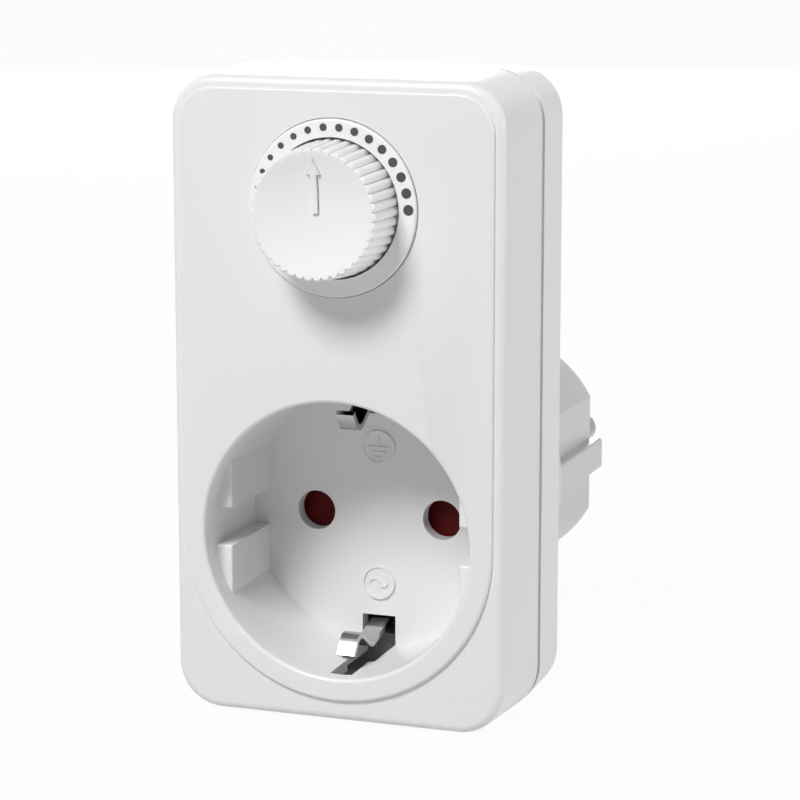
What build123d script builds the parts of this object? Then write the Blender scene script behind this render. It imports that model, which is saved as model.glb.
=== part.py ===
from build123d import *
from math import atan, degrees, pi
import os

os.makedirs("parts", exist_ok=True)

# Plug in dimmer: a socket adapter with a dimming knob above its recess.
# Millimetres. X runs right, Y runs from the room to the wall, Z is up.
# The origin is the middle of the plug's end face, where it meets a wall socket.
# A depth is measured from the raised front panel towards the wall.

# walls, draft and play
side_wall = 2.2
front_wall = 2.2
rear_wall = 2.0
front_draft = 0.65         # how far each side leans in from seam to front
rear_draft = 0.30
overrun = 1.0              # extra reach of every cut
seat_gap = 0.15            # play between parts that slide together
running_gap = 0.30         # play beside parts that move

# socket recess
mouth_radius = 19.4
recess_draft = 0.30        # how much narrower the recess is at its floor
recess_depth = 17.5
mouth_edge = 0.60
well_wall = 1.5
floor_wall = 2.2
pin_spacing = 19.0
pin_hole_radius = 2.85
rib_reach = 2.65           # from the mouth's edge to the guide ribs' inner faces
rib_depth = 3.6            # where the guide ribs start
rib_gap = 5.3
rib_edge = 0.35
disc_place = 9.85
disc_radius = 2.45
disc_raise = 0.12
mark_raise = 0.30
mark_line = 0.28
mark_stem_top = 1.75
mark_bar_step = 0.72
mark_bar_widths = (3.3, 2.2, 1.1)
wave_half = 1.3
wave_rise = 0.55

well_radius = mouth_radius + well_wall
floor_back = recess_depth + floor_wall
rib_half_span = mouth_radius - rib_reach
pin_x = pin_spacing / 2

# shutter and its spring
shutter_side = 4.5         # from a pin's axis to the shutter's end
shutter_thick = 3.7
shutter_low = 3.9          # below the socket axis, at rest
shutter_high = 10.6
shutter_travel = 6.3
ramp_half = 3.1
ramp_width = 6.4
ramp_rise = 2.0
spring_radius = 1.35
spring_wire = 0.36
spring_turns = 5.5
spring_room = 3.5          # left for the pressed spring
spring_clear = 0.05

shutter_half_width = pin_x + shutter_side
shutter_front = floor_back + running_gap
shutter_back = shutter_front + shutter_thick
window_radius = pin_hole_radius + seat_gap
spring_depth = (shutter_front + shutter_back) / 2

# contact carrier, with the sleeves that grip a plug's pins
carrier_inset = 2.4        # narrower than the mouth
carrier_thick = 14.0
carrier_edge = 0.8
rail_width = 1.6
stop_half = 5.0
stop_thick = 1.4
seat_half = 3.6
seat_thick = 1.2
pin_radius = 2.4
sleeve_play = 0.10
sleeve_wall = 0.7
sleeve_inset = 1.0
sleeve_floor = 2.0
sleeve_slit = 1.2
tail_width = 4.0
tail_thick = 0.8
tail_reach = 5.2           # behind the carrier

carrier_radius = mouth_radius - carrier_inset
carrier_front = shutter_back + running_gap
carrier_back = carrier_front + carrier_thick
rail_inner = shutter_half_width + running_gap
rail_half = shutter_high
rail_front = shutter_front
seat_z = shutter_low + shutter_travel + spring_room
sleeve_radius = pin_radius + sleeve_play + sleeve_wall
sleeve_front = carrier_front + sleeve_inset
sleeve_back = carrier_back - sleeve_floor
tail_back = carrier_back + tail_reach
tail_top = tail_thick / 2

# neck and plug
neck_wall = 2.0
neck_room = 8.0            # behind the carrier
neck_step = 0.20           # wider than the plug
neck_flare = 2.8
plug_length = 23.5
plug_clear = 1.0           # narrower than the recess it would fit
flat_clear = 0.65
plug_rib_inset = 0.30
plug_rib_edge = 0.5
plug_wall = 2.1
plug_end_wall = 3.5
plug_edge = 0.6
groove_width = 6.0
groove_wall = 1.6

neck_end = carrier_back + neck_room
face_to_plug = neck_end + plug_length
plug_radius = mouth_radius - plug_clear
neck_end_radius = plug_radius + neck_step
neck_root_radius = neck_end_radius + neck_flare
plug_half_flat = rib_half_span - flat_clear
plug_rib_half = plug_radius - plug_rib_inset
plug_rib_width = rib_gap - 2 * running_gap

# earth contacts
earth_width = 2.6
earth_thick = 0.8
earth_inset = 3.6          # from the mouth's edge to the strip's middle
earth_wave = 1.6           # how far the strip swings out, then in
earth_flare = 1.5
earth_bend = 1.9
earth_sink = 1.1           # below the recess floor, where the strip bends
earth_dip_depth = 11.4
earth_nose_depth = 6.4
earth_end_depth = 4.3
earth_end_gap = 2.2
bridge_gap = 0.4
slot_width = 5.0
slot_margin = 1.1
slot_through = 0.7         # past the well's wall
slot_lip = 0.10            # left of the well in front of an earth opening
slot_step_depth = 9.0

earth_place = mouth_radius - earth_inset
earth_dip = earth_place + earth_wave
earth_nose = earth_place - earth_wave
earth_end = earth_place + earth_flare
earth_foot_depth = recess_depth + earth_sink
earth_back = face_to_plug - earth_end_gap
bridge_depth = carrier_back + bridge_gap
slot_inner = earth_place - slot_margin
slot_outer = well_radius + slot_through
slot_start = front_wall + slot_lip
slot_front_width = earth_width + 2 * running_gap
groove_floor = earth_place - earth_thick / 2
plug_room_half_height = groove_floor - groove_wall

# plug pins, their holder and its screw
pin_length = 19.0
pin_tip = 1.9
pin_fit = 0.04
pin_tail_reach = 3.0       # inside the plug, past the holder
pin_root_radius = 2.9      # through the end wall
pin_flange_radius = 3.9
pin_flange = 3.0
holder_half_height = 7.0
holder_corner = 3.0
holder_thick = 3.0
holder_boss_radius = 3.0
small_screw_radius = 1.1
small_head_radius = 2.2
small_head_thick = 1.4
screw_fit = 0.05

holder_back = face_to_plug - plug_end_wall - pin_flange
holder_front = holder_back - holder_thick
holder_half_width = pin_x + pin_flange_radius
pin_tail = holder_front - pin_tail_reach

# potentiometer, heat sink, fuse and choke, which set the board's width and height
pot_radius = 8.3
triac_gap = 3.5            # from the potentiometer to the triac's screw
triac_length = 15.0
triac_inset = 0.7
sink_side = 0.9
sink_width = 15.6
sink_gap = 3.0             # between the heat sink and the fuse
sink_rise = 7.0            # above the board's lower edge, like the other rises
sink_beyond = 1.2          # past the triac
sink_clear = 0.8           # between the heat sink and a screw's head
board_screw_end = 3.1
board_gap = 3.6            # between the socket well and the board
fuse_rise = 10.5           # above the board's lower edge
fuse_side = 1.5
fuse_length = 20.0
fuse_stand = 4.4
fuse_glass_radius = 2.3
fuse_cap_radius = 2.6
fuse_cap_length = 5.4
clip_wall = 0.5
clip_width = 4.0
clip_foot = 6.4
part_gap = 0.5
choke_side = 3.4
choke_above = 2.7
choke_radius = 6.6
choke_post_radius = 2.6
choke_flange = 1.2
choke_height = 9.0
winding_radius = 6.0

triac_x = pot_radius + triac_gap
sink_left = triac_x + sink_width / 2
sink_right = triac_x - sink_width / 2
board_width = max(2 * (sink_left + sink_side), sink_side + sink_width + sink_gap + fuse_length + fuse_side)
board_low = well_radius + board_gap
sink_low = board_low + sink_rise
triac_low = sink_low + triac_inset
sink_high = triac_low + triac_length + sink_beyond
fuse_z = board_low + fuse_rise
choke_z = fuse_z + fuse_cap_radius + clip_wall + part_gap + choke_radius
choke_top = choke_z + choke_radius + choke_above
board_high = max(choke_top, sink_high + sink_clear + small_head_radius + board_screw_end)

# housing: its width and height follow the socket well, the board and the screws
well_room = 1.5            # between the socket well and the side walls
board_side_gap = 1.9
bottom_room = 3.1
corner_radius = 7.0
rear_edge = 1.5
seam_width = 1.2
seam_inset = 0.90
lip_wall = 1.0
lip_reach = 1.2
screw_side = 5.4
screw_below = 5.0
screw_above = 5.2
screw_radius = 1.4
screw_head_radius = 2.7
screw_head = 2.0
screw_head_gap = 0.30
screw_slot = 0.9
pilot_floor = 3.3
head_recess = 4.6
boss_radius = 2.8
post_radius = 4.0

room_width = max(2 * (well_radius + well_room), board_width + 2 * board_side_gap)
body_width = room_width + 2 * side_wall
body_bottom = well_radius + bottom_room + side_wall    # below the socket axis
screw_x = body_width / 2 - screw_side
screw_low = body_bottom - screw_below                  # below the socket axis
screw_high = board_high + running_gap + post_radius
body_top = screw_high + screw_above                    # above the socket axis
body_height = body_top + body_bottom
body_middle = (body_top - body_bottom) / 2

# front panel and its edges
panel_raise = 0.60
panel_band = 3.2           # from the mouth's edge to the panel's edge
panel_margin = 1.45        # from the panel's top edge to the cover's top edge
panel_corner = 5.2
panel_edge = 0.40
cover_edge = 1.25

panel_radius = mouth_radius + panel_band               # also half the panel's width

# dial
dial_drop = 17.95          # from the housing's top to the dial's axis
dial_band = 2.45           # between the knob's pit and the dial's edge
dial_raise = 0.55
dial_seat = 0.70
dial_edge = 0.35
dial_fit = 0.12
pit_depth = 2.0
backing_margin = 0.75
dial_backing = 3.4         # depth of the thickened wall behind the dial
dial_angle = 177.0         # from the first dot to the last, half on each side
dot_count = 16
dot_inset = 1.1            # from the dial's edge to the dots' middles
dot_smallest = 0.32        # radius
dot_largest = 0.72
dot_raise = 0.05

dial_height = body_top - dial_drop

# potentiometer
shaft_radius = 3.0
shaft_fit = 0.03
shaft_flat = 2.3
shaft_play = 0.05
shaft_end_gap = 0.20
pot_thick = 8.0
rotor_floor = 2.4
bushing_wall = 0.7
bushing_front = 1.0        # in front of the panel
bushing_fit = 0.10
washer_margin = 0.7
washer_thick = 0.5
nut_wall = 1.75
nut_thick = 1.9
nut_fit = 0.05

pot_depth = dial_backing + pot_thick                   # also the face of the board
pot_rotor_depth = pot_depth - rotor_floor
bushing_bore_radius = shaft_radius + shaft_play
bushing_radius = bushing_bore_radius + bushing_wall
nut_across = 2 * (bushing_radius + nut_wall)
washer_radius = nut_across / 2 + washer_margin

# knob: it covers the washer, and the dial follows it
knob_room = 1.1            # round the washer
knob_draft = 0.53
knob_gap = 0.17            # round the knob in the dial's pit
knob_float = 0.8           # above the pit's floor
knob_reach = 7.6           # in front of the panel
knob_bevel = 0.22
knob_rim = 0.55
knob_dish_depth = 1.3
knob_face = 2.4
knob_wall = 1.6
flute_count = 42
flute_share = 0.0705       # a flute's radius as a share of the knob's
hub_wall = 1.7
hub_gap = 1.0
arrow_raise = 0.36
arrow_groove = 0.16        # width and depth of the line round the arrow
arrow_tip = 7.2
arrow_neck = 5.3
arrow_tail = 0.1
arrow_head_half = 0.95
arrow_shaft_half = 0.40

knob_skirt_radius = washer_radius + knob_room
knob_front_radius = knob_skirt_radius + knob_wall
knob_base_radius = knob_front_radius + knob_draft
knob_dish_radius = knob_front_radius - knob_rim
pit_radius = knob_base_radius + knob_gap
dial_radius = pit_radius + dial_band
dial_backing_radius = dial_radius + backing_margin
dot_ring_radius = dial_radius - dot_inset
knob_back = knob_float - pit_depth
cap_inside = knob_reach - knob_face
hub_radius = shaft_radius + hub_wall
hub_clear = bushing_front + hub_gap
shaft_front = cap_inside - shaft_end_gap
arrow_root = knob_reach - knob_dish_depth - 2 * arrow_groove
dish_sphere = (knob_dish_radius**2 + knob_dish_depth**2) / (2 * knob_dish_depth)

# circuit board and its screws
board_thick = 1.6
board_screw_side = 3.0
board_boss_radius = 2.3
small_screw_reach = 6.0
seam_clear = 2.0

board_back = pot_depth + board_thick
board_screw_x = board_width / 2 - board_screw_side
board_screw_low = board_low + board_screw_end
board_screw_high = board_high - board_screw_end
seam_depth = board_back + seam_clear                   # where the two shells meet
screw_pilot_reach = seam_depth - front_wall - pilot_floor
fuse_x = board_width / 2 - fuse_length / 2 - fuse_side
choke_x = board_width / 2 - choke_radius - choke_side

# heat sink's section, triac, and the small parts on the board
sink_base = 1.6
sink_fin = 7.5
triac_width = 10.0
triac_thick = 4.4
triac_tab_length = 5.6
triac_tab_thick = 1.3
clamp_radius = 1.5
clamp_head_radius = 2.8
clamp_head_thick = 1.8
clamp_nut_across = 5.4
clamp_nut_thick = 2.2
filter_width = 10.6
filter_rise = 0.7
filter_thick = 5.8
filter_height = 9.0
resistor_radius = 1.15
resistor_length = 6.4
resistor_rise = 9.7
resistor_step = 3.4
resistor_count = 3
resistor_x = 9.0
diac_radius = 0.9
diac_length = 3.9
diac_x = 1.5
diac_rise = 6.5
timing_width = 7.2
timing_thick = 3.4
timing_height = 6.5
timing_x = 9.5
timing_rise = 6.9

sink_top = board_back + sink_base
triac_hole = (-triac_x, triac_low + triac_length - triac_tab_length / 2)
filter_low = board_low + filter_rise
filter_high = filter_low + filter_thick

# leads
lead_radius = 1.1
lead_play = 0.4
lead_bend = 3.5
lead_x = 8.6
lead_z = 12.2
lead_straight = 6.5        # before the first bend
lead_entry = 5.5           # behind the carrier
lead_clear = 0.8
lead_rise = 3.1
cross_height = 7.6
cross_inset = 1.55
back_room = 1.8            # behind the choke and the leads

lead_hole_radius = lead_radius + lead_play
lead_low_depth = pin_tail - lead_straight
lead_high_depth = carrier_back + lead_entry
lead_rise_depth = floor_back + lead_radius + lead_clear
lead_end_z = board_low + lead_rise
cross_depth = tail_back - cross_inset
body_depth = max(board_back + choke_height, lead_rise_depth + lead_radius) + back_room + rear_wall


def facing(depth):
    """A plane across the dimmer at a depth; it faces the room, so minus runs to the wall."""
    return Plane.XZ.offset(face_to_plug - depth)


def knob_plane(reach):
    """The same, with its origin on the dial's axis, in front of the panel by reach."""
    return Plane(origin=(0, -face_to_plug - reach, dial_height), x_dir=(1, 0, 0), z_dir=(0, -1, 0))


def body_outline(inset):
    """The housing's rounded outline, inset all round, in the sketch that is open."""
    with Locations((0, body_middle)):
        RectangleRounded(body_width - 2 * inset, body_height - 2 * inset, corner_radius - inset)


def screw_places():
    return [(x, z) for x in (-screw_x, screw_x) for z in (-screw_low, screw_high)]


def board_screw_places():
    return [(x, z) for x in (-board_screw_x, board_screw_x) for z in (board_screw_low, board_screw_high)]


def save(part, name):
    part.label = name
    export_step(part, f"parts/{name}.step")


# front cover: a shell with a raised panel
front_lean = degrees(atan(front_draft / (seam_depth - panel_raise)))
recess_lean = degrees(atan(recess_draft / recess_depth))
panel_top = body_top - front_draft - panel_margin

with BuildPart() as front_cover:
    with BuildSketch(facing(seam_depth)):
        body_outline(0)
    extrude(amount=seam_depth - panel_raise, taper=front_lean)
    fillet(front_cover.faces().sort_by(Axis.Y)[0].edges(), radius=cover_edge)

    # the raised panel, round at the bottom about the socket axis
    with BuildSketch(facing(front_wall)) as panel:
        Circle(panel_radius)
        Rectangle(2 * panel_radius, panel_top, align=(Align.CENTER, Align.MIN))
        fillet(panel.vertices().group_by(Axis.Z)[-1], radius=panel_corner)
    extrude(amount=front_wall)
    fillet(front_cover.faces().sort_by(Axis.Y)[0].edges(), radius=panel_edge)

    # hollow the shell, then stand the bosses and the dial's backing in it
    with BuildSketch(facing(seam_depth)):
        body_outline(side_wall)
    extrude(amount=seam_depth - front_wall, mode=Mode.SUBTRACT)
    with BuildSketch(facing(front_wall)):
        with Locations(*screw_places()):
            Circle(boss_radius)
    extrude(amount=front_wall - seam_depth)
    with BuildSketch(facing(front_wall)):
        with Locations(*board_screw_places()):
            Circle(board_boss_radius)
    extrude(amount=front_wall - pot_depth)
    with BuildSketch(facing(front_wall)):
        with Locations((0, dial_height)):
            Circle(dial_backing_radius)
    extrude(amount=front_wall - dial_backing)

    # mouth of the socket recess
    with BuildSketch(facing(0)):
        Circle(mouth_radius)
    extrude(amount=-front_wall, taper=recess_lean, mode=Mode.SUBTRACT)
    front_circles = front_cover.edges().filter_by(GeomType.CIRCLE).group_by(Axis.Y)[0]
    fillet(front_circles.filter_by(lambda edge: edge.is_closed), radius=mouth_edge)

    # dial: a seat for the ring, a pit for the knob, a hole for the bushing
    with BuildSketch(facing(0)):
        with Locations((0, dial_height)):
            Circle(dial_radius + dial_fit)
    extrude(amount=-dial_seat, mode=Mode.SUBTRACT)
    with BuildSketch(facing(0)):
        with Locations((0, dial_height)):
            Circle(pit_radius)
    extrude(amount=-pit_depth, mode=Mode.SUBTRACT)
    with BuildSketch(facing(0)):
        with Locations((0, dial_height)):
            Circle(bushing_radius + bushing_fit)
    extrude(amount=-dial_backing - overrun, mode=Mode.SUBTRACT)

    # pilot holes
    with BuildSketch(facing(seam_depth)):
        with Locations(*screw_places()):
            Circle(screw_radius + screw_fit)
    extrude(amount=screw_pilot_reach, mode=Mode.SUBTRACT)
    with BuildSketch(facing(pot_depth)):
        with Locations(*board_screw_places()):
            Circle(small_screw_radius + screw_fit)
    extrude(amount=small_screw_reach, mode=Mode.SUBTRACT)
save(front_cover.part, "front_cover")


# socket well behind the mouth: wall, floor, guide ribs and openings
with BuildPart() as socket_well:
    with BuildSketch(facing(front_wall)):
        Circle(well_radius)
    extrude(amount=front_wall - floor_back)
    with BuildSketch(facing(0)):
        Circle(mouth_radius)
    extrude(amount=-recess_depth, taper=recess_lean, mode=Mode.SUBTRACT)
    with BuildSketch(facing(rib_depth)):
        Circle(mouth_radius + well_wall / 2)
        Rectangle(2 * rib_half_span, 2 * well_radius, mode=Mode.SUBTRACT)
        Rectangle(2 * well_radius, rib_gap, mode=Mode.SUBTRACT)
    extrude(amount=rib_depth - recess_depth)
    rib_fronts = socket_well.faces().filter_by(Axis.Y).group_by(Axis.Y)[1]
    fillet(rib_fronts.edges().filter_by(GeomType.LINE), radius=rib_edge)

    # pin holes, then the earth openings through the floor and along the wall
    with BuildSketch(facing(recess_depth)):
        with Locations((-pin_x, 0), (pin_x, 0)):
            Circle(pin_hole_radius)
    extrude(amount=-floor_wall - overrun, mode=Mode.SUBTRACT)
    for side in (-1, 1):
        with BuildSketch(facing(slot_step_depth)):
            with Locations((0, side * (slot_inner + slot_outer) / 2)):
                Rectangle(slot_width, slot_outer - slot_inner)
        extrude(amount=slot_step_depth - floor_back - overrun, mode=Mode.SUBTRACT)
        with BuildSketch(facing(slot_start)):
            with Locations((0, side * (slot_inner + slot_outer) / 2)):
                Rectangle(slot_front_width, slot_outer - slot_inner)
        extrude(amount=slot_start - slot_step_depth, mode=Mode.SUBTRACT)

    # two small discs on the recess floor: the earth sign, and a plain wave
    with BuildSketch(facing(recess_depth)):
        with Locations((0, disc_place), (0, -disc_place)):
            Circle(disc_radius)
    extrude(amount=disc_raise)
    with BuildSketch(facing(recess_depth)):
        with Locations((0, disc_place), (0, -disc_place)):
            Circle(disc_radius)
            Circle(disc_radius - mark_line, mode=Mode.SUBTRACT)
        with Locations((0, disc_place + mark_stem_top / 2)):
            Rectangle(mark_line, mark_stem_top)
        for step, bar in enumerate(mark_bar_widths):
            with Locations((0, disc_place - step * mark_bar_step)):
                Rectangle(bar, mark_line)
        with BuildLine():
            start = (-wave_half, -disc_place)
            ThreePointArc(start, (-wave_half / 2, wave_rise - disc_place), (0, -disc_place))
            ThreePointArc((0, -disc_place), (wave_half / 2, -wave_rise - disc_place), (wave_half, -disc_place))
        trace(line_width=mark_line)
    extrude(amount=mark_raise)
save(socket_well.part, "socket_well")


# rear cover: a tray with the seam's groove and a round opening for the plug
rear_lean = degrees(atan(rear_draft / (body_depth - seam_depth - seam_width)))
neck_lean = degrees(atan((neck_root_radius - neck_end_radius) / (neck_end - body_depth)))
room_end = neck_end - neck_wall

with BuildPart() as rear_cover:
    with BuildSketch(facing(seam_depth + seam_width)):
        body_outline(0)
    extrude(amount=seam_depth + seam_width - body_depth, taper=rear_lean)
    fillet(rear_cover.faces().sort_by(Axis.Y)[-1].edges(), radius=rear_edge)
    with BuildSketch(facing(seam_depth)):
        body_outline(seam_inset)
    extrude(amount=-seam_width - rear_wall)

    # hollow, with the opening that the neck stands over
    with BuildSketch(facing(seam_depth)):
        body_outline(side_wall)
    extrude(amount=seam_depth + rear_wall - body_depth, mode=Mode.SUBTRACT)
    with BuildSketch(facing(seam_depth)):
        Circle(neck_root_radius - neck_wall)
    extrude(amount=seam_depth - body_depth - overrun, mode=Mode.SUBTRACT)

    # posts and screw holes
    with BuildSketch(facing(seam_depth)):
        with Locations(*screw_places()):
            Circle(post_radius)
        with BuildSketch(mode=Mode.PRIVATE) as inside:
            body_outline(seam_inset + seat_gap)
        add(inside.sketch, mode=Mode.INTERSECT)
    extrude(amount=seam_depth - body_depth + rear_wall)
    with BuildSketch(facing(seam_depth)):
        with Locations(*screw_places()):
            Circle(screw_radius + seat_gap)
    extrude(amount=seam_depth - body_depth, mode=Mode.SUBTRACT)
    with BuildSketch(facing(body_depth)):
        with Locations(*screw_places()):
            Circle(screw_head_radius + screw_head_gap)
    extrude(amount=head_recess, mode=Mode.SUBTRACT)

    # alignment lip inside the front shell, cut away round the bosses
    with BuildSketch(facing(seam_depth + overrun)):
        body_outline(side_wall + seat_gap)
        with BuildSketch(mode=Mode.PRIVATE) as core:
            body_outline(side_wall + seat_gap + lip_wall)
        add(core.sketch, mode=Mode.SUBTRACT)
        with Locations(*screw_places()):
            Circle(post_radius, mode=Mode.SUBTRACT)
    extrude(amount=overrun + lip_reach)
save(rear_cover.part, "rear_cover")


# plug body: the neck behind the rear cover and the round plug with its flats
with BuildPart() as plug_body:
    # neck, then the plug with its side flats and its two guide ribs
    with BuildSketch(facing(body_depth)):
        Circle(neck_root_radius)
    extrude(amount=body_depth - neck_end, taper=neck_lean)
    with BuildSketch(facing(neck_end - neck_wall)):
        Circle(plug_radius)
        Rectangle(2 * plug_half_flat, 2 * plug_radius, mode=Mode.INTERSECT)
    extrude(amount=room_end - face_to_plug)
    with BuildSketch(facing(neck_end - neck_wall)) as ribs:
        Rectangle(2 * plug_rib_half, plug_rib_width)
        fillet(ribs.vertices(), radius=plug_rib_edge)
    extrude(amount=room_end - face_to_plug)
    fillet(plug_body.faces().sort_by(Axis.Y)[-1].edges(), radius=plug_edge)

    # hollow neck and plug
    with BuildSketch(facing(body_depth)):
        Circle(neck_root_radius - neck_wall)
    extrude(amount=body_depth - room_end, taper=neck_lean, mode=Mode.SUBTRACT)
    with BuildSketch(facing(room_end)):
        Circle(plug_radius - plug_wall)
        Rectangle(2 * (plug_half_flat - plug_wall), 2 * plug_room_half_height, mode=Mode.INTERSECT)
    extrude(amount=room_end + plug_end_wall - face_to_plug, mode=Mode.SUBTRACT)

    # grooves for the earth contacts, with a slit for each strip into the neck
    for side in (-1, 1):
        with BuildSketch(facing(neck_end)):
            with Locations((0, side * (groove_floor + plug_radius) / 2)):
                Rectangle(groove_width, plug_radius - groove_floor)
        extrude(amount=neck_end - face_to_plug - overrun, mode=Mode.SUBTRACT)
        with BuildSketch(facing(room_end - overrun)):
            with Locations((0, side * earth_place)):
                Rectangle(earth_width + 2 * seat_gap, earth_thick)
        extrude(amount=-neck_wall - 2 * overrun, mode=Mode.SUBTRACT)

    # the plug's end wall: a boss for the holder's screw and two pin bores
    with BuildSketch(facing(holder_back)):
        Circle(holder_boss_radius)
    extrude(amount=-pin_flange)
    with BuildSketch(facing(holder_back)):
        Circle(small_screw_radius + screw_fit)
    extrude(amount=-pin_flange - plug_end_wall / 2, mode=Mode.SUBTRACT)
    with BuildSketch(facing(face_to_plug)):
        with Locations((-pin_x, 0), (pin_x, 0)):
            Circle(pin_root_radius + pin_fit)
    extrude(amount=plug_end_wall + overrun, mode=Mode.SUBTRACT)
save(plug_body.part, "plug_body")


# dial ring with a row of raised dots that grow clockwise
with BuildPart() as dial_ring:
    with BuildSketch(knob_plane(-dial_seat)):
        Circle(dial_radius)
        Circle(pit_radius, mode=Mode.SUBTRACT)
    extrude(amount=dial_seat + dial_raise)
    fillet(dial_ring.edges().group_by(Axis.Y)[0].sort_by(SortBy.RADIUS)[-1], radius=dial_edge)
save(dial_ring.part, "dial_ring")

with BuildPart() as dial_dots:
    with BuildSketch(knob_plane(dial_raise)):
        for index in range(dot_count):
            share = index / (dot_count - 1)
            angle = 90 + (0.5 - share) * dial_angle
            with PolarLocations(dot_ring_radius, 1, start_angle=angle):
                Circle(dot_smallest + share * (dot_largest - dot_smallest))
    extrude(amount=dot_raise)
save(dial_dots.part, "dial_dots")


# dimmer knob: a fluted cap with a dished face, an arrow and a hub
def fluted(radius):
    """A round of convex flutes, in the sketch that is open."""
    flute_radius = radius * flute_share
    Circle(radius - flute_radius)
    with PolarLocations(radius - flute_radius, flute_count):
        Circle(flute_radius)


dish_place = Pos(0, knob_dish_depth - dish_sphere - knob_reach - face_to_plug, dial_height)
dish = dish_place * Solid.make_sphere(dish_sphere)


def arrow_outline():
    """The arrow, in the sketch that is open."""
    Polygon(
        (-arrow_shaft_half, arrow_tail), (arrow_shaft_half, arrow_tail), (arrow_shaft_half, arrow_neck),
        (arrow_head_half, arrow_neck), (0, arrow_tip), (-arrow_head_half, arrow_neck),
        (-arrow_shaft_half, arrow_neck), align=None)


with BuildPart() as arrow_line:
    with BuildSketch(knob_plane(arrow_root)):
        arrow_outline()
        offset(amount=arrow_groove, kind=Kind.INTERSECTION)
    extrude(amount=knob_reach - arrow_root)
    add(Pos(0, arrow_groove, 0) * dish, mode=Mode.INTERSECT)

with BuildPart() as dimmer_knob:
    with BuildSketch(knob_plane(knob_back)):
        fluted(knob_base_radius)
    with BuildSketch(knob_plane(knob_reach - knob_bevel)):
        fluted(knob_front_radius)
    with BuildSketch(knob_plane(knob_reach)):
        fluted(knob_front_radius - knob_bevel)
    loft(ruled=True)
    add(dish, mode=Mode.SUBTRACT)
    add(arrow_line.part, mode=Mode.SUBTRACT)
    with BuildSketch(knob_plane(knob_back)):
        Circle(knob_skirt_radius)
    extrude(amount=cap_inside - knob_back, mode=Mode.SUBTRACT)
    with BuildSketch(knob_plane(hub_clear)):
        Circle(hub_radius)
    extrude(amount=cap_inside - hub_clear)
    with BuildSketch(knob_plane(hub_clear)):
        Circle(shaft_radius + shaft_fit)
        with Locations((0, shaft_flat + shaft_fit)):
            Rectangle(2 * hub_radius, 2 * hub_radius, align=(Align.CENTER, Align.MIN), mode=Mode.SUBTRACT)
    extrude(amount=shaft_front + seat_gap - hub_clear, mode=Mode.SUBTRACT)
    with BuildSketch(knob_plane(arrow_root)):
        arrow_outline()
    extrude(amount=knob_reach - arrow_root)
    add(Pos(0, -arrow_raise, 0) * dish, mode=Mode.SUBTRACT)
save(dimmer_knob.part, "dimmer_knob")


# potentiometer: shaft, bushing, body, washer and nut
with BuildPart() as knob_shaft:
    with BuildSketch(knob_plane(hub_clear)):
        Circle(shaft_radius)
    extrude(amount=-hub_clear - pot_rotor_depth)
    with BuildSketch(knob_plane(hub_clear)):
        Circle(shaft_radius)
        with Locations((0, shaft_flat)):
            Rectangle(2 * hub_radius, 2 * hub_radius, align=(Align.CENTER, Align.MIN), mode=Mode.SUBTRACT)
    extrude(amount=shaft_front - hub_clear)
save(knob_shaft.part, "knob_shaft")

with BuildPart() as pot_bushing:
    with BuildSketch(knob_plane(bushing_front)):
        Circle(bushing_radius)
        Circle(bushing_bore_radius, mode=Mode.SUBTRACT)
    extrude(amount=-bushing_front - dial_backing)
save(pot_bushing.part, "pot_bushing")

with BuildPart() as potentiometer:
    with BuildSketch(knob_plane(-dial_backing)):
        Circle(pot_radius)
    extrude(amount=dial_backing - pot_depth)
    with BuildSketch(knob_plane(-dial_backing)):
        Circle(bushing_bore_radius)
    extrude(amount=dial_backing - pot_rotor_depth - seat_gap, mode=Mode.SUBTRACT)
save(potentiometer.part, "potentiometer")

with BuildPart() as pot_washer:
    with BuildSketch(knob_plane(-pit_depth)):
        Circle(washer_radius)
        Circle(bushing_radius + nut_fit, mode=Mode.SUBTRACT)
    extrude(amount=washer_thick)
save(pot_washer.part, "pot_washer")

with BuildPart() as pot_nut:
    with BuildSketch(knob_plane(washer_thick - pit_depth)):
        RegularPolygon(nut_across / 2, 6, major_radius=False)
        Circle(bushing_radius + nut_fit, mode=Mode.SUBTRACT)
    extrude(amount=nut_thick)
save(pot_nut.part, "pot_nut")


# circuit board and its four screws
with BuildPart() as circuit_board:
    with BuildSketch(facing(pot_depth)):
        with Locations((0, (board_low + board_high) / 2)):
            Rectangle(board_width, board_high - board_low)
        with Locations(*board_screw_places()):
            Circle(small_screw_radius + seat_gap, mode=Mode.SUBTRACT)
        with Locations(triac_hole):
            Circle(clamp_radius + seat_gap, mode=Mode.SUBTRACT)
    extrude(amount=-board_thick)
save(circuit_board.part, "circuit_board")

with BuildPart() as board_screws:
    with BuildSketch(facing(board_back)):
        with Locations(*board_screw_places()):
            Circle(small_head_radius)
    extrude(amount=-small_head_thick)
    with BuildSketch(facing(board_back)):
        with Locations(*board_screw_places()):
            Circle(small_screw_radius)
    extrude(amount=board_thick + small_screw_reach - overrun)
save(board_screws.part, "board_screws")


# heat sink, triac and the screw and nut that clamp them
with BuildPart() as heat_sink:
    with BuildSketch(facing(board_back)):
        with Locations((-(sink_left + sink_right) / 2, (sink_low + sink_high) / 2)):
            Rectangle(sink_left - sink_right, sink_high - sink_low)
    extrude(amount=-sink_base)
    with BuildSketch(facing(board_back)):
        for place in (-sink_left + sink_base / 2, -sink_right - sink_base / 2):
            with Locations((place, (sink_low + sink_high) / 2)):
                Rectangle(sink_base, sink_high - sink_low)
    extrude(amount=-sink_fin)
    with BuildSketch(facing(board_back)):
        with Locations(triac_hole):
            Circle(clamp_radius + seat_gap)
    extrude(amount=-sink_fin, mode=Mode.SUBTRACT)
save(heat_sink.part, "heat_sink")

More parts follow.
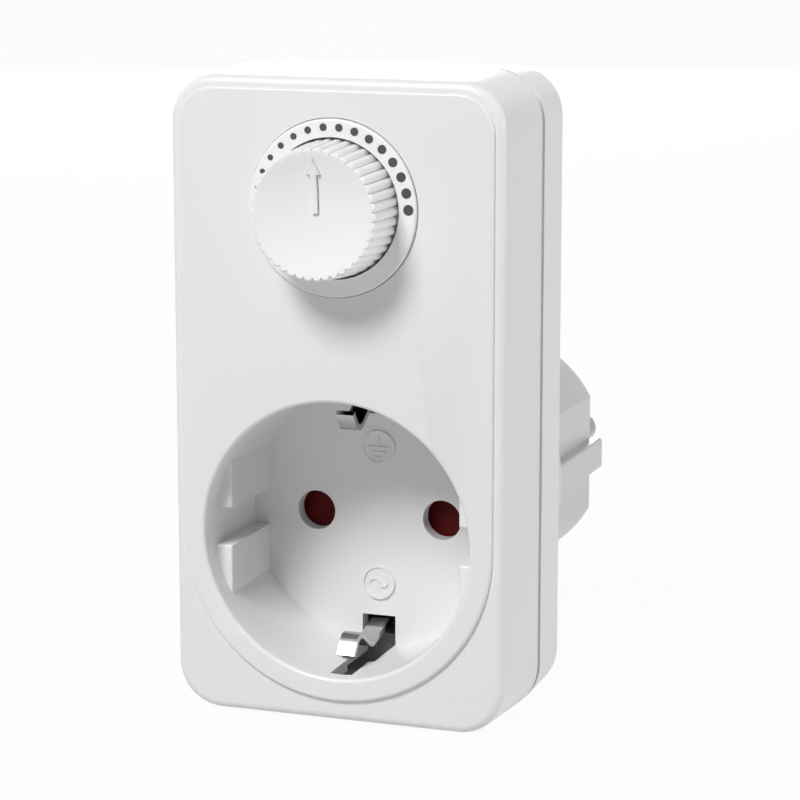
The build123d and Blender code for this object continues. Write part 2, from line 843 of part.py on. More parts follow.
with BuildPart() as triac:
    with BuildSketch(facing(sink_top)):
        with Locations((-triac_x, triac_low)):
            Rectangle(triac_width, triac_length, align=(Align.CENTER, Align.MIN))
    extrude(amount=-triac_tab_thick)
    with BuildSketch(facing(sink_top)):
        with Locations((-triac_x, triac_low)):
            Rectangle(triac_width, triac_length - triac_tab_length, align=(Align.CENTER, Align.MIN))
    extrude(amount=-triac_thick)
    with BuildSketch(facing(sink_top)):
        with Locations(triac_hole):
            Circle(clamp_radius + seat_gap)
    extrude(amount=-triac_thick, mode=Mode.SUBTRACT)
save(triac.part, "triac")

with BuildPart() as triac_screw:
    with BuildSketch(facing(sink_top + triac_tab_thick)):
        with Locations(triac_hole):
            Circle(clamp_head_radius)
    extrude(amount=-clamp_head_thick)
    with BuildSketch(facing(sink_top + triac_tab_thick)):
        with Locations(triac_hole):
            Circle(clamp_radius)
    extrude(amount=triac_tab_thick + sink_base + board_thick + clamp_nut_thick)
save(triac_screw.part, "triac_screw")

with BuildPart() as triac_nut:
    with BuildSketch(facing(pot_depth)):
        with Locations(triac_hole):
            RegularPolygon(clamp_nut_across / 2, 6, major_radius=False)
            Circle(clamp_radius + nut_fit, mode=Mode.SUBTRACT)
    extrude(amount=clamp_nut_thick)
save(triac_nut.part, "triac_nut")


# interference choke: a ferrite spool with its copper winding
with BuildPart() as choke_core:
    for near, far in ((0, choke_flange), (choke_height - choke_flange, choke_height)):
        with BuildSketch(facing(board_back + near)):
            with Locations((choke_x, choke_z)):
                Circle(choke_radius)
        extrude(amount=near - far)
    with BuildSketch(facing(board_back)):
        with Locations((choke_x, choke_z)):
            Circle(choke_post_radius)
    extrude(amount=-choke_height)
save(choke_core.part, "choke_core")

with BuildPart() as choke_winding:
    with BuildSketch(facing(board_back + choke_flange)):
        with Locations((choke_x, choke_z)):
            Circle(winding_radius)
            Circle(choke_post_radius, mode=Mode.SUBTRACT)
    extrude(amount=2 * choke_flange - choke_height)
save(choke_winding.part, "choke_winding")


# capacitors, resistors and trigger diode
with BuildPart() as filter_capacitor:
    with BuildSketch(facing(board_back)):
        with Locations((0, (filter_low + filter_high) / 2)):
            Rectangle(filter_width, filter_high - filter_low)
    extrude(amount=-filter_height)
save(filter_capacitor.part, "filter_capacitor")

with BuildPart() as timing_capacitor:
    with BuildSketch(facing(pot_depth)):
        with Locations((timing_x, board_low + timing_rise)):
            Rectangle(timing_width, timing_thick)
    extrude(amount=timing_height)
save(timing_capacitor.part, "timing_capacitor")

with BuildPart() as resistors:
    for step in range(resistor_count):
        start = (-resistor_x - resistor_length / 2, pot_depth - resistor_radius - face_to_plug,
                 board_low + resistor_rise - step * resistor_step)
        with BuildSketch(Plane(origin=start, z_dir=(1, 0, 0))):
            Circle(resistor_radius)
        extrude(amount=resistor_length)
save(resistors.part, "resistors")

with BuildPart() as diac:
    start = (diac_x - diac_length / 2, pot_depth - diac_radius - face_to_plug, board_low + diac_rise)
    with BuildSketch(Plane(origin=start, z_dir=(1, 0, 0))):
        Circle(diac_radius)
    extrude(amount=diac_length)
save(diac.part, "diac")


# fuse: glass tube, two caps and their clips on the board
def fuse_plane(x):
    return Plane(origin=(x, board_back + fuse_stand - face_to_plug, fuse_z), x_dir=(0, 1, 0), z_dir=(1, 0, 0))


fuse_start = fuse_x - fuse_length / 2
fuse_end = fuse_x + fuse_length / 2
cap_starts = (fuse_start, fuse_end - fuse_cap_length)

with BuildPart() as fuse_tube:
    with BuildSketch(fuse_plane(fuse_start)):
        Circle(fuse_glass_radius)
    extrude(amount=fuse_length)
    with BuildSketch(fuse_plane(fuse_start)):
        Circle(fuse_glass_radius - clip_wall)
    extrude(amount=fuse_length, mode=Mode.SUBTRACT)
save(fuse_tube.part, "fuse_tube")

with BuildPart() as fuse_caps:
    for place in cap_starts:
        with BuildSketch(fuse_plane(place)):
            Circle(fuse_cap_radius)
            Circle(fuse_glass_radius, mode=Mode.SUBTRACT)
        extrude(amount=fuse_cap_length)
save(fuse_caps.part, "fuse_caps")

with BuildPart() as fuse_clips:
    for place in cap_starts:
        middle = place + fuse_cap_length / 2
        with BuildSketch(fuse_plane(middle - clip_width / 2)):
            Circle(fuse_cap_radius + clip_wall)
            with Locations((-fuse_stand + clip_wall / 2, 0)):
                Rectangle(clip_wall, clip_foot)
            with Locations((-fuse_stand / 2, 0)):
                Rectangle(fuse_stand, 2 * fuse_cap_radius - 2 * clip_wall)
            Circle(fuse_cap_radius, mode=Mode.SUBTRACT)
            with Locations((fuse_cap_radius, 0)):
                Rectangle(2 * fuse_cap_radius, 2 * fuse_cap_radius - clip_wall, mode=Mode.SUBTRACT)
        extrude(amount=clip_width)
save(fuse_clips.part, "fuse_clips")


# contact carrier: holds the sleeves, guides the shutter and seats its spring
with BuildPart() as contact_carrier:
    with BuildSketch(facing(carrier_front)):
        Circle(carrier_radius)
    extrude(amount=carrier_front - carrier_back)
    chamfer(contact_carrier.edges().group_by(Axis.Y)[-1], length=carrier_edge)
    with BuildSketch(facing(rail_front)):
        for side in (-1, 1):
            with Locations((side * (rail_inner + rail_width / 2), 0)):
                Rectangle(rail_width, 2 * rail_half)
        with Locations((0, shutter_high + running_gap + stop_thick / 2)):
            Rectangle(2 * stop_half, stop_thick)
        with Locations((0, -seat_z - seat_thick / 2)):
            Rectangle(2 * seat_half, seat_thick)
    extrude(amount=rail_front - carrier_front)
    with BuildSketch(facing(carrier_front)):
        with Locations((-pin_x, 0), (pin_x, 0)):
            Circle(sleeve_radius - sleeve_wall + seat_gap)
    extrude(amount=carrier_front - carrier_back, mode=Mode.SUBTRACT)
    with BuildSketch(facing(sleeve_front)):
        with Locations((-pin_x, 0), (pin_x, 0)):
            Circle(sleeve_radius + pin_fit)
    extrude(amount=sleeve_front - carrier_back, mode=Mode.SUBTRACT)
    for side in (-1, 1):
        with BuildSketch(facing(carrier_front)):
            with Locations((0, side * (carrier_radius + earth_place - earth_thick / 2 - seat_gap) / 2)):
                Rectangle(slot_front_width, carrier_radius - earth_place + earth_thick / 2 + seat_gap)
        extrude(amount=carrier_front - carrier_back, mode=Mode.SUBTRACT)
    with BuildSketch(facing(carrier_front)):
        with Locations((-lead_x, lead_z), (lead_x, lead_z)):
            Circle(lead_hole_radius)
    extrude(amount=carrier_front - carrier_back, mode=Mode.SUBTRACT)
save(contact_carrier.part, "contact_carrier")


# socket contacts: slit sleeves with flat tails, the neutral one reaching its pin
def socket_contact(x, tail_end, name):
    with BuildPart() as contact:
        with BuildSketch(facing(sleeve_front)):
            with Locations((x, 0)):
                Circle(sleeve_radius)
                Circle(sleeve_radius - sleeve_wall, mode=Mode.SUBTRACT)
                Rectangle(sleeve_slit, sleeve_radius + overrun, align=(Align.CENTER, Align.MIN),
                          mode=Mode.SUBTRACT)
        extrude(amount=sleeve_front - sleeve_back)
        with BuildSketch(facing(sleeve_back)):
            with Locations((x, 0)):
                Circle(sleeve_radius)
        extrude(amount=-tail_thick)
        with BuildSketch(facing(sleeve_back)):
            with Locations((x, 0)):
                Rectangle(tail_width, tail_thick)
        extrude(amount=sleeve_back - tail_end)
    save(contact.part, name)


socket_contact(-pin_x, tail_back, "line_contact")
socket_contact(pin_x, pin_tail, "neutral_contact")


# shutter: a plate with two windows and a ramp under each pin hole
with BuildPart() as shutter:
    with BuildSketch(facing(shutter_front)):
        with Locations((0, (shutter_high - shutter_low) / 2)):
            Rectangle(2 * shutter_half_width, shutter_high + shutter_low)
        with Locations((-pin_x, shutter_travel), (pin_x, shutter_travel)):
            Circle(window_radius, mode=Mode.SUBTRACT)
    extrude(amount=shutter_front - shutter_back)
    for x in (-pin_x, pin_x):
        ramp_start = shutter_front - face_to_plug
        with BuildSketch(Plane(origin=(x - ramp_width / 2, 0, 0), x_dir=(0, 1, 0), z_dir=(1, 0, 0))):
            with BuildLine():
                Polyline((ramp_start, -ramp_half), (ramp_start + ramp_rise, ramp_half),
                         (ramp_start + ramp_rise, shutter_travel), (ramp_start, shutter_travel), close=True)
            make_face()
        extrude(amount=ramp_width, mode=Mode.SUBTRACT)
save(shutter.part, "shutter")

spring_low = -seat_z + spring_clear
spring_high = -shutter_low - spring_clear
spring_length = spring_high - spring_low

with BuildPart() as shutter_spring:
    spring_pitch = (spring_length - spring_wire) / spring_turns
    base = Plane(origin=(0, spring_depth - face_to_plug, spring_low + spring_wire / 2))
    with BuildLine(base) as coil:
        Helix(pitch=spring_pitch, height=spring_length - spring_wire, radius=spring_radius)
    with BuildSketch(Plane(origin=coil.line @ 0, z_dir=coil.line % 0)):
        Circle(spring_wire / 2)
    sweep(is_frenet=True)
save(shutter_spring.part, "shutter_spring")


# earth contacts: one bent strip above and one below, joined by a bridge
def earth_contact(side, name):
    def spot(depth, height):
        return (depth - face_to_plug, side * height)

    with BuildPart() as strip:
        with BuildSketch(Plane(origin=(-earth_width / 2, 0, 0), x_dir=(0, 1, 0), z_dir=(1, 0, 0))):
            with BuildLine():
                FilletPolyline(
                    spot(earth_back, earth_place), spot(earth_foot_depth, earth_place),
                    spot(earth_dip_depth, earth_dip), spot(earth_nose_depth, earth_nose),
                    spot(earth_end_depth, earth_end), radius=earth_bend)
            trace(line_width=earth_thick)
        extrude(amount=earth_width)
    save(strip.part, name)


earth_contact(1, "earth_contact_upper")
earth_contact(-1, "earth_contact_lower")

with BuildPart() as earth_bridge:
    with BuildSketch(facing(bridge_depth)):
        Rectangle(earth_width, 2 * earth_place - earth_thick)
    extrude(amount=-earth_thick)
save(earth_bridge.part, "earth_bridge")


# plug pins with a flange each, and the holder that clamps the flanges
def plug_pin(x, name):
    with BuildPart() as pin:
        with BuildSketch(facing(pin_tail)):
            with Locations((x, 0)):
                Circle(pin_radius)
        extrude(amount=pin_tail - face_to_plug - pin_length)
        fillet(pin.edges().sort_by(Axis.Y)[-1], radius=pin_tip)
        with BuildSketch(facing(holder_back)):
            with Locations((x, 0)):
                Circle(pin_flange_radius)
        extrude(amount=-pin_flange)
        with BuildSketch(facing(holder_back)):
            with Locations((x, 0)):
                Circle(pin_root_radius)
        extrude(amount=holder_back - face_to_plug)
    save(pin.part, name)


plug_pin(-pin_x, "line_pin")
plug_pin(pin_x, "neutral_pin")

with BuildPart() as pin_holder:
    with BuildSketch(facing(holder_front)):
        RectangleRounded(2 * holder_half_width, 2 * holder_half_height, holder_corner)
        with Locations((-pin_x, 0), (pin_x, 0)):
            Circle(pin_radius + pin_fit, mode=Mode.SUBTRACT)
        Circle(small_screw_radius + seat_gap, mode=Mode.SUBTRACT)
    extrude(amount=-holder_thick)
save(pin_holder.part, "pin_holder")

with BuildPart() as holder_screw:
    with BuildSketch(facing(holder_front)):
        Circle(small_head_radius)
    extrude(amount=small_head_thick)
    with BuildSketch(facing(holder_front)):
        Circle(small_screw_radius)
    extrude(amount=-holder_thick - pin_flange)
save(holder_screw.part, "holder_screw")


# leads: pin to board, and board to the line contact
def lead(points, name):
    with BuildPart() as wire:
        route = [(x, depth - face_to_plug, z) for x, depth, z in points]
        with BuildLine() as path:
            FilletPolyline(*route, radius=lead_bend)
        with BuildSketch(Plane(origin=path.line @ 0, z_dir=path.line % 0)):
            Circle(lead_radius)
        sweep()
    length = path.wire().length
    section = pi * lead_radius**2
    print(name, "bend radius", lead_bend, "length", round(length, 1),
          "volume ratio", round(wire.part.volume / (length * section), 4))
    save(wire.part, name)


lead([(-pin_x, pin_tail, 0), (-pin_x, lead_low_depth, 0), (-lead_x, lead_high_depth, lead_z),
      (-lead_x, lead_rise_depth, lead_z), (-lead_x, lead_rise_depth, lead_end_z),
      (-lead_x, board_back, lead_end_z)], "line_lead")
lead([(-pin_x, cross_depth, tail_top), (-pin_x, cross_depth, cross_height), (lead_x, cross_depth, lead_z),
      (lead_x, lead_rise_depth, lead_z), (lead_x, lead_rise_depth, lead_end_z),
      (lead_x, board_back, lead_end_z)], "dimmed_lead")


# housing screws, driven from the back
with BuildPart() as housing_screws:
    with BuildSketch(facing(body_depth - head_recess)):
        with Locations(*screw_places()):
            Circle(screw_head_radius)
    extrude(amount=-screw_head)
    with BuildSketch(facing(body_depth - head_recess)):
        with Locations(*screw_places()):
            Circle(screw_radius)
    extrude(amount=body_depth - head_recess - seam_depth + screw_pilot_reach - overrun)
    for place in screw_places():
        with BuildSketch(facing(body_depth - head_recess + screw_head)):
            with Locations(place):
                Rectangle(screw_head_radius, screw_slot)
                Rectangle(screw_slot, screw_head_radius)
        extrude(amount=screw_head / 2, mode=Mode.SUBTRACT)
save(housing_screws.part, "housing_screws")
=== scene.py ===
import math

import bpy
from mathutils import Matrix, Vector


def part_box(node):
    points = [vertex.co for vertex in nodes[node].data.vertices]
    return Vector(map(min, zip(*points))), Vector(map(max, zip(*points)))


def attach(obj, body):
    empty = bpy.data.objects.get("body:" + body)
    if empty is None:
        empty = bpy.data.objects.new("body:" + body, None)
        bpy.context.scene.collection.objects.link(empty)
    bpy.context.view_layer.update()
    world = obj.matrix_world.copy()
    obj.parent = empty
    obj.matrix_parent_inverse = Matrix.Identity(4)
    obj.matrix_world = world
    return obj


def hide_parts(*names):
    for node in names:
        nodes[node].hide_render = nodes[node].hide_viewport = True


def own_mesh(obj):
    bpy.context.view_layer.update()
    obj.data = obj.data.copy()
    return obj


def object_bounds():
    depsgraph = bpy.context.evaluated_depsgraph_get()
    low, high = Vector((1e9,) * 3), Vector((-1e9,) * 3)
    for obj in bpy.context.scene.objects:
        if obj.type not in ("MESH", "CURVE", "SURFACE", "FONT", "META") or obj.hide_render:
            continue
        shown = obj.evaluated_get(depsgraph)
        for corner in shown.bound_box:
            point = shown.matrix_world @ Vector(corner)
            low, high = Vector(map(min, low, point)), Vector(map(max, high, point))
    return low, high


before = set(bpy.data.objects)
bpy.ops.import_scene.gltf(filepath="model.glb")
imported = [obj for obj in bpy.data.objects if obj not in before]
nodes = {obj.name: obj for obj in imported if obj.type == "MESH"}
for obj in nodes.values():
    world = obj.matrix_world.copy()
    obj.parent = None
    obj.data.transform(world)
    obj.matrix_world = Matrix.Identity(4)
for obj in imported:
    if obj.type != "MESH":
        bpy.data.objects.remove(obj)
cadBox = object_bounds()
print("frame loaded, nodes:", len(nodes))

# places of the sockets on Blender's mix node, when it mixes colours
mixAmount, mixFirst, mixSecond, mixResult = 0, 6, 7, 2

shading = {
    "driftDetail": 3.0, "grainDetail": 2.0, "lineDetail": 4.0,
    "lineHeight": 0.00002, "lineSmoothest": 0.8, "lineRoughest": 1.25,
    "plasticSpecular": 0.5, "glassIor": 1.46,
    "joinDistance": 0.000002, "softAngle": math.radians(28),
}


def newMaterial(name):
    material = bpy.data.materials.new(name)
    material.use_nodes = True
    tree = material.node_tree
    shader = tree.nodes["Principled BSDF"]
    return material, tree, shader


# noise in the piece's own space
def addNoise(tree, vector, scale, detail):
    noise = tree.nodes.new("ShaderNodeTexNoise")
    noise.inputs["Scale"].default_value = scale
    noise.inputs["Detail"].default_value = detail
    tree.links.new(vector, noise.inputs["Vector"])
    return noise.outputs["Fac"]


# colour that runs between a look's two tones
def addTint(tree, shader, look, amount):
    tint = tree.nodes.new("ShaderNodeMix")
    tint.data_type = "RGBA"
    tint.inputs[mixFirst].default_value = (*look["colour"], 1)
    tint.inputs[mixSecond].default_value = (*look["shade"], 1)
    tree.links.new(amount, tint.inputs[mixAmount])
    tree.links.new(tint.outputs[mixResult], shader.inputs["Base Color"])


def addBump(tree, shader, strength, height, amount):
    bump = tree.nodes.new("ShaderNodeBump")
    bump.inputs["Strength"].default_value = strength
    bump.inputs["Distance"].default_value = height
    tree.links.new(amount, bump.inputs["Height"])
    tree.links.new(bump.outputs["Normal"], shader.inputs["Normal"])


def addRoughness(tree, shader, smoothest, roughest, amount):
    gloss = tree.nodes.new("ShaderNodeMapRange")
    gloss.inputs["To Min"].default_value = smoothest
    gloss.inputs["To Max"].default_value = roughest
    tree.links.new(amount, gloss.inputs["Value"])
    tree.links.new(gloss.outputs["Result"], shader.inputs["Roughness"])


# moulded plastic: colour that drifts a little, a fine grain and a roughness that follows it
def moulded(name, look):
    material, tree, shader = newMaterial(name)
    place = tree.nodes.new("ShaderNodeTexCoord").outputs["Object"]
    drift = addNoise(tree, place, look["driftScale"], shading["driftDetail"])
    grain = addNoise(tree, place, look["grainScale"], shading["grainDetail"])
    addTint(tree, shader, look, drift)
    addBump(tree, shader, look["bump"], look["bumpHeight"], grain)
    smoothest = look["roughness"] - look["roughnessDrift"]
    roughest = look["roughness"] + look["roughnessDrift"]
    addRoughness(tree, shader, smoothest, roughest, grain)
    shader.inputs["Specular IOR Level"].default_value = look.get("specular", shading["plasticSpecular"])
    return material


# plated and turned metal: fine lines across the turning axis
def turnedMetal(name, look):
    material, tree, shader = newMaterial(name)
    place = tree.nodes.new("ShaderNodeTexCoord").outputs["Object"]
    stretch = tree.nodes.new("ShaderNodeMapping")
    stretch.inputs["Scale"].default_value = look["stretch"]
    tree.links.new(place, stretch.inputs["Vector"])
    lines = addNoise(tree, stretch.outputs["Vector"], look["lineScale"], shading["lineDetail"])
    addTint(tree, shader, look, lines)
    addBump(tree, shader, look["bump"], shading["lineHeight"], lines)
    smoothest = look["roughness"] * shading["lineSmoothest"]
    roughest = look["roughness"] * shading["lineRoughest"]
    addRoughness(tree, shader, smoothest, roughest, lines)
    shader.inputs["Metallic"].default_value = 1.0
    return material


# glass with a slight ripple
def clearGlass(name, look):
    material, tree, shader = newMaterial(name)
    place = tree.nodes.new("ShaderNodeTexCoord").outputs["Object"]
    ripple = addNoise(tree, place, look["rippleScale"], shading["grainDetail"])
    addBump(tree, shader, look["bump"], shading["lineHeight"], ripple)
    shader.inputs["Base Color"].default_value = (*look["colour"], 1)
    shader.inputs["Roughness"].default_value = look["roughness"]
    shader.inputs["Transmission Weight"].default_value = 1.0
    shader.inputs["IOR"].default_value = shading["glassIor"]
    return material


# the colours and finishes of the object's plastics and metals; the plug's white and the pins' nickel are
# darker copies with painted shade
coverPlastic = {
    "colour": (0.80, 0.80, 0.80), "shade": (0.77, 0.77, 0.772), "driftScale": 25.0,
    "grainScale": 2600.0, "bump": 0.10, "bumpHeight": 0.00003,
    "roughness": 0.36, "roughnessDrift": 0.05,
}
# the plug's white: a darker copy of the cover's white, painted shade for the housing's shadow that falls
# over the plug at the back
plugPaintedShadePlastic = {
    "colour": (0.65, 0.65, 0.65), "shade": (0.61, 0.61, 0.612), "driftScale": 25.0,
    "grainScale": 2600.0, "bump": 0.10, "bumpHeight": 0.00003,
    "roughness": 0.34, "roughnessDrift": 0.05,
}
dialPlastic = {
    "colour": (0.86, 0.86, 0.86), "shade": (0.83, 0.83, 0.835), "driftScale": 60.0,
    "grainScale": 3500.0, "bump": 0.06, "bumpHeight": 0.00002,
    "roughness": 0.30, "roughnessDrift": 0.05,
}
printInk = {
    "colour": (0.045, 0.045, 0.047), "shade": (0.07, 0.07, 0.073), "driftScale": 900.0,
    "grainScale": 6000.0, "bump": 0.08, "bumpHeight": 0.00001,
    "roughness": 0.5, "roughnessDrift": 0.06,
}
maroonPlastic = {
    "colour": (0.13, 0.006, 0.007), "shade": (0.09, 0.004, 0.005), "driftScale": 90.0,
    "grainScale": 2500.0, "bump": 0.12, "bumpHeight": 0.00003,
    "roughness": 0.5, "roughnessDrift": 0.07, "specular": 0.12,
}
greyPlastic = {
    "colour": (0.20, 0.20, 0.21), "shade": (0.16, 0.16, 0.17), "driftScale": 70.0,
    "grainScale": 2200.0, "bump": 0.15, "bumpHeight": 0.00003,
    "roughness": 0.5, "roughnessDrift": 0.07,
}
nickelPlate = {
    "colour": (0.47, 0.47, 0.475), "shade": (0.36, 0.36, 0.37), "stretch": (1.0, 14.0, 1.0),
    "lineScale": 160.0, "bump": 0.10, "roughness": 0.13,
}
# the pins' nickel: a darker copy of the plating, painted reflection that stands in for the dark bands
# reflected along the pins
pinPaintedReflectionPlate = {
    "colour": (0.27, 0.27, 0.275), "shade": (0.19, 0.19, 0.195), "stretch": (1.0, 14.0, 1.0),
    "lineScale": 160.0, "bump": 0.10, "roughness": 0.12,
}
zincPlate = {
    "colour": (0.60, 0.60, 0.61), "shade": (0.48, 0.48, 0.50), "stretch": (1.0, 1.0, 1.0),
    "lineScale": 900.0, "bump": 0.18, "roughness": 0.32,
}
stampedBrass = {
    "colour": (0.74, 0.55, 0.24), "shade": (0.60, 0.42, 0.16), "stretch": (1.0, 1.0, 1.0),
    "lineScale": 500.0, "bump": 0.16, "roughness": 0.30,
}
copperWire = {
    "colour": (0.66, 0.26, 0.10), "shade": (0.45, 0.15, 0.05), "stretch": (1.0, 26.0, 1.0),
    "lineScale": 130.0, "bump": 0.6, "roughness": 0.28,
}
sheetAluminium = {
    "colour": (0.72, 0.73, 0.74), "shade": (0.60, 0.61, 0.62), "stretch": (1.0, 1.0, 12.0),
    "lineScale": 200.0, "bump": 0.2, "roughness": 0.34,
}
fuseGlass = {"colour": (0.95, 0.97, 0.97), "rippleScale": 300.0, "bump": 0.1, "roughness": 0.03}

# what all the small moulded parts inside share, and the colour and roughness of each
smallPart = {
    "shadeShare": 0.8, "driftScale": 120.0, "grainScale": 2600.0,
    "bump": 0.15, "bumpHeight": 0.00003, "roughnessDrift": 0.06,
}
smallColours = {
    "potBlue": ((0.05, 0.14, 0.36), 0.42),
    "filmYellow": ((0.72, 0.50, 0.06), 0.30),
    "dippedRed": ((0.42, 0.05, 0.03), 0.28),
    "resistorTan": ((0.55, 0.38, 0.20), 0.35),
    "epoxyBlack": ((0.022, 0.022, 0.024), 0.48),
    "boardDark": ((0.05, 0.045, 0.04), 0.42),
    "ferriteBlack": ((0.045, 0.045, 0.048), 0.55),
    "leadBrown": ((0.16, 0.07, 0.03), 0.45),
    "leadBlack": ((0.03, 0.03, 0.03), 0.45),
}


def smallLook(colour, roughness):
    shade = tuple(channel * smallPart["shadeShare"] for channel in colour)
    return {**smallPart, "colour": colour, "shade": shade, "roughness": roughness}


mouldedLooks = {
    "coverWhite": coverPlastic, "plugPaintedShadeWhite": plugPaintedShadePlastic, "dialWhite": dialPlastic,
    "dialInk": printInk, "shutterMaroon": maroonPlastic, "carrierGrey": greyPlastic,
    **{name: smallLook(*values) for name, values in smallColours.items()},
}
metalLooks = {
    "nickel": nickelPlate, "pinNickelPaintedReflection": pinPaintedReflectionPlate, "zinc": zincPlate,
    "brass": stampedBrass, "copper": copperWire, "aluminium": sheetAluminium,
}
finishes = {name: moulded(name, look) for name, look in mouldedLooks.items()}
finishes.update({name: turnedMetal(name, look) for name, look in metalLooks.items()})
finishes["glass"] = clearGlass("glass", fuseGlass)

# which of them each node wears
nodeFinish = {
    "front_cover": "coverWhite", "socket_well": "coverWhite", "rear_cover": "coverWhite",
    "plug_body": "plugPaintedShadeWhite", "dial_ring": "dialWhite", "dial_dots": "dialInk",
    "dimmer_knob": "dialWhite", "knob_shaft": "zinc", "potentiometer": "potBlue", "pot_bushing": "brass",
    "pot_washer": "zinc", "pot_nut": "zinc", "circuit_board": "boardDark", "board_screws": "zinc",
    "heat_sink": "aluminium", "triac": "epoxyBlack", "triac_screw": "zinc", "triac_nut": "zinc",
    "choke_core": "ferriteBlack", "choke_winding": "copper", "filter_capacitor": "filmYellow",
    "timing_capacitor": "dippedRed", "resistors": "resistorTan", "diac": "epoxyBlack", "fuse_tube": "glass",
    "fuse_caps": "nickel", "fuse_clips": "nickel", "contact_carrier": "carrierGrey", "line_contact": "brass",
    "neutral_contact": "brass", "shutter": "shutterMaroon", "shutter_spring": "zinc",
    "earth_contact_upper": "nickel", "earth_contact_lower": "nickel", "earth_bridge": "nickel",
    "line_pin": "pinNickelPaintedReflection", "neutral_pin": "pinNickelPaintedReflection", "pin_holder": "carrierGrey", "holder_screw": "zinc",
    "line_lead": "leadBrown", "dimmed_lead": "leadBlack", "housing_screws": "zinc",
}
print("materials made:", len(finishes))


# soft shading on rounded edges, sharp on real corners
def roundShading():
    group = bpy.data.node_groups.new("roundShading", "GeometryNodeTree")
    group.interface.new_socket("Geometry", in_out="INPUT", socket_type="NodeSocketGeometry")
    group.interface.new_socket("Geometry", in_out="OUTPUT", socket_type="NodeSocketGeometry")
    start = group.nodes.new("NodeGroupInput")
    end = group.nodes.new("NodeGroupOutput")
    join = group.nodes.new("GeometryNodeMergeByDistance")
    join.inputs["Distance"].default_value = shading["joinDistance"]
    faces = group.nodes.new("GeometryNodeSetShadeSmooth")
    faces.domain = "FACE"
    faces.inputs["Shade Smooth"].default_value = True
    turn = group.nodes.new("GeometryNodeInputMeshEdgeAngle")
    gentle = group.nodes.new("FunctionNodeCompare")
    gentle.data_type = "FLOAT"
    gentle.operation = "LESS_THAN"
    gentle.inputs[1].default_value = shading["softAngle"]
    edges = group.nodes.new("GeometryNodeSetShadeSmooth")
    edges.domain = "EDGE"
    group.links.new(start.outputs[0], join.inputs["Geometry"])
    group.links.new(join.outputs[0], faces.inputs["Geometry"])
    group.links.new(faces.outputs[0], edges.inputs["Geometry"])
    group.links.new(turn.outputs["Unsigned Angle"], gentle.inputs[0])
    group.links.new(gentle.outputs[0], edges.inputs["Shade Smooth"])
    group.links.new(edges.outputs[0], end.inputs[0])
    return group


softEdges = roundShading()
for name, node in nodes.items():
    finish = finishes[nodeFinish[name]]
    for slot in node.material_slots:
        slot.material = finish
    if not node.material_slots:
        node.data.materials.append(finish)
    modifier = node.modifiers.new("roundShading", "NODES")
    modifier.node_group = softEdges
print("nodes dressed")


# the shutter's spring, wound again here
coil = {
    "turns": 5.5, "wire": 0.00036, "stepsPerTurn": 28, "sides": 12,
    "pressedShare": 0.35,  # of its length, with the shutter fully down
}


# middle of the wire at a share of the coil, and the two directions across the wire there
def coilPoint(share, centre, radius, low, rise):
    angle = 2 * math.pi * coil["turns"] * share
    outward = Vector((math.cos(angle), math.sin(angle), 0))
    along = Vector((-math.sin(angle), math.cos(angle), rise / (2 * math.pi * coil["turns"] * radius)))
    middle = centre + outward * radius + Vector((0, 0, low + rise * share))
    return middle, outward, along.normalized().cross(outward)


# a round wire wound upwards, which fills the box between the two corners
def windSpring(name, corners):
    lowest, highest = Vector(corners[0]), Vector(corners[1])
    thin = coil["wire"] / 2
    centre = Vector(((lowest.x + highest.x) / 2, (lowest.y + highest.y) / 2, 0))
    radius = (highest.x - lowest.x) / 2 - thin
    rise = highest.z - lowest.z - 2 * thin
    steps = round(coil["turns"] * coil["stepsPerTurn"])
    sides = coil["sides"]
    points = []
    for step in range(steps + 1):
        middle, outward, upward = coilPoint(step / steps, centre, radius, lowest.z + thin, rise)
        for side in range(sides):
            angle = 2 * math.pi * side / sides
            points.append(middle + outward * (thin * math.cos(angle)) + upward * (thin * math.sin(angle)))
    faces = [list(range(sides))[::-1], list(range(steps * sides, (steps + 1) * sides))]
    for step in range(steps):
        for side in range(sides):
            after = (side + 1) % sides
            first, second = step * sides, (step + 1) * sides
            faces.append([first + side, first + after, second + after, second + side])
    mesh = bpy.data.meshes.new(name)
    mesh.from_pydata(points, [], faces)
    spring = bpy.data.objects.new(name, mesh)
    bpy.context.scene.collection.objects.link(spring)
    return spring


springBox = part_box("shutter_spring")
spring = windSpring("springCoil", springBox)
spring.data.materials.append(finishes[nodeFinish["shutter_spring"]])
spring.modifiers.new("roundShading", "NODES").node_group = softEdges
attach(spring, "housing")
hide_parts("shutter_spring")
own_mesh(spring)
print("spring wound")


# floor, lamps and camera
studio = {
    "lampAim": (0, -0.045, 0.02), "floorRoughness": 0.9,
    "floorSize": 8.0, "floorColour": 0.66, "floorWhite": 0.96,
    "worldLight": 0.12, "keyPower": 12.4, "keyPlace": (-0.24, -0.82, 0.90), "keySize": 0.36,
    "fillPower": 4.6, "fillPlace": (0.95, 0.02, 0.12), "fillSize": 0.5,
    "topPower": 0.2, "topPlace": (0.35, 0.35, 0.6), "topSize": 0.4,
    "backPower": 7.0, "backPlace": (-0.45, 0.95, 0.05), "backSize": 0.5,
}

# fitted to the photograph with the pins and the recess at their standard sizes
photoCamera = {
    "lens": 131.45, "sensorWidth": 36.0, "clipStart": 0.01,
    "place": (0.1414, -0.4317, 0.0961), "elevation": 11.09, "azimuth": 20,
}


def addMath(tree, operation, first):
    step = tree.nodes.new("ShaderNodeMath")
    step.operation = operation
    tree.links.new(first, step.inputs[0])
    return step


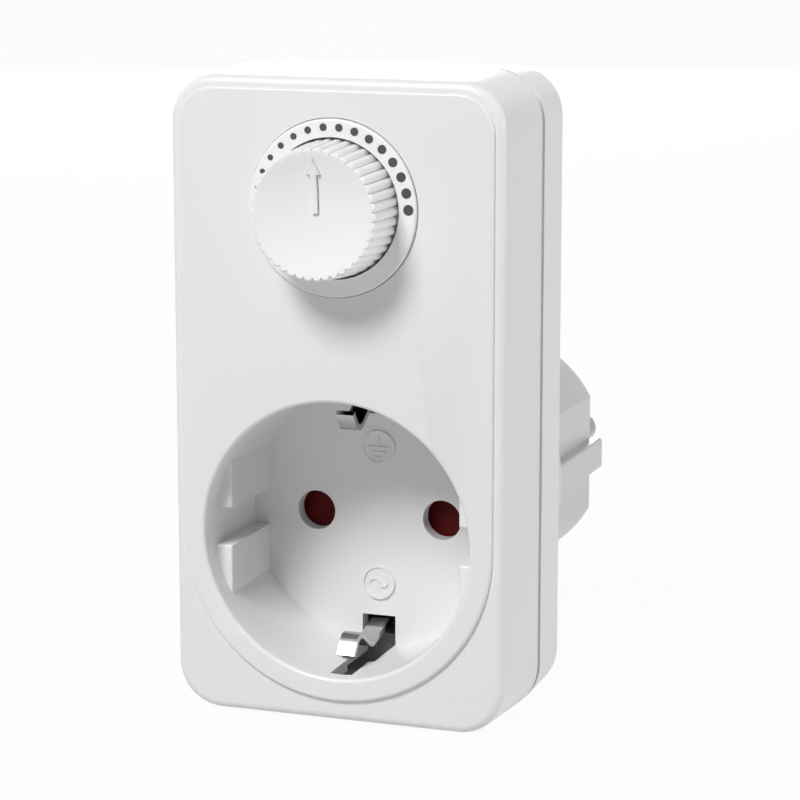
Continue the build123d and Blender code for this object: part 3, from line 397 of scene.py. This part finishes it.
# plain white for what the camera, a mirror or glass sees, and the given shader for all other light
def whiteToCamera(tree, shaderOutput, target, share=1.0):
    path = tree.nodes.new("ShaderNodeLightPath")
    plain = tree.nodes.new("ShaderNodeEmission")
    plain.inputs["Color"].default_value = (1, 1, 1, 1)
    plain.inputs["Strength"].default_value = 1.0
    seen = addMath(tree, "MAXIMUM", path.outputs["Is Camera Ray"])
    tree.links.new(path.outputs["Is Glossy Ray"], seen.inputs[1])
    passed = addMath(tree, "MAXIMUM", seen.outputs[0])
    tree.links.new(path.outputs["Is Transmission Ray"], passed.inputs[1])
    part = addMath(tree, "MULTIPLY", passed.outputs[0])
    part.inputs[1].default_value = share
    choose = tree.nodes.new("ShaderNodeMixShader")
    tree.links.new(part.outputs[0], choose.inputs[0])
    tree.links.new(shaderOutput, choose.inputs[1])
    tree.links.new(plain.outputs[0], choose.inputs[2])
    tree.links.new(choose.outputs[0], target)


world = bpy.data.worlds.new("studioWorld")
world.use_nodes = True
bpy.context.scene.world = world
worldTree = world.node_tree
softLight = worldTree.nodes["Background"]
softLight.inputs["Color"].default_value = (1, 1, 1, 1)
softLight.inputs["Strength"].default_value = studio["worldLight"]
whiteToCamera(worldTree, softLight.outputs[0], worldTree.nodes["World Output"].inputs["Surface"])

lowest = cadBox[0][2]
half = studio["floorSize"] / 2
floorMesh = bpy.data.meshes.new("studioFloor")
floorCorners = [(x * half, y * half, lowest) for x, y in ((-1, -1), (1, -1), (1, 1), (-1, 1))]
floorMesh.from_pydata(floorCorners, [], [(0, 1, 2, 3)])
floor = bpy.data.objects.new("studioFloor", floorMesh)
bpy.context.scene.collection.objects.link(floor)
floorPaint, floorTree, floorShader = newMaterial("floorWhite")
grey = studio["floorColour"]
floorShader.inputs["Base Color"].default_value = (grey, grey, grey, 1)
floorShader.inputs["Roughness"].default_value = studio["floorRoughness"]
whiteToCamera(floorTree, floorShader.outputs[0], floorTree.nodes["Material Output"].inputs["Surface"],
              studio["floorWhite"])
floorMesh.materials.append(floorPaint)


# an area lamp turned to the object, from the studio's values
def softLamp(name):
    lamp = bpy.data.lights.new(name + "Lamp", "AREA")
    lamp.energy = studio[name + "Power"]
    lamp.size = studio[name + "Size"]
    holder = bpy.data.objects.new(name + "Lamp", lamp)
    holder.location = studio[name + "Place"]
    aim = Vector(studio["lampAim"]) - Vector(studio[name + "Place"])
    holder.rotation_euler = aim.to_track_quat("-Z", "Y").to_euler()
    bpy.context.scene.collection.objects.link(holder)


for lampName in ("key", "fill", "top", "back"):
    softLamp(lampName)

lens = bpy.data.cameras.new("photoCamera")
lens.lens = photoCamera["lens"]
lens.sensor_width = photoCamera["sensorWidth"]
lens.clip_start = photoCamera["clipStart"]
eye = bpy.data.objects.new("photoCamera", lens)
eye.location = photoCamera["place"]
eye.rotation_euler = (math.radians(90 - photoCamera["elevation"]), 0, math.radians(photoCamera["azimuth"]))
bpy.context.scene.collection.objects.link(eye)
bpy.context.scene.camera = eye
bpy.context.scene.view_settings.view_transform = "Standard"
print("studio and camera set")

bpy.context.view_layer.update()
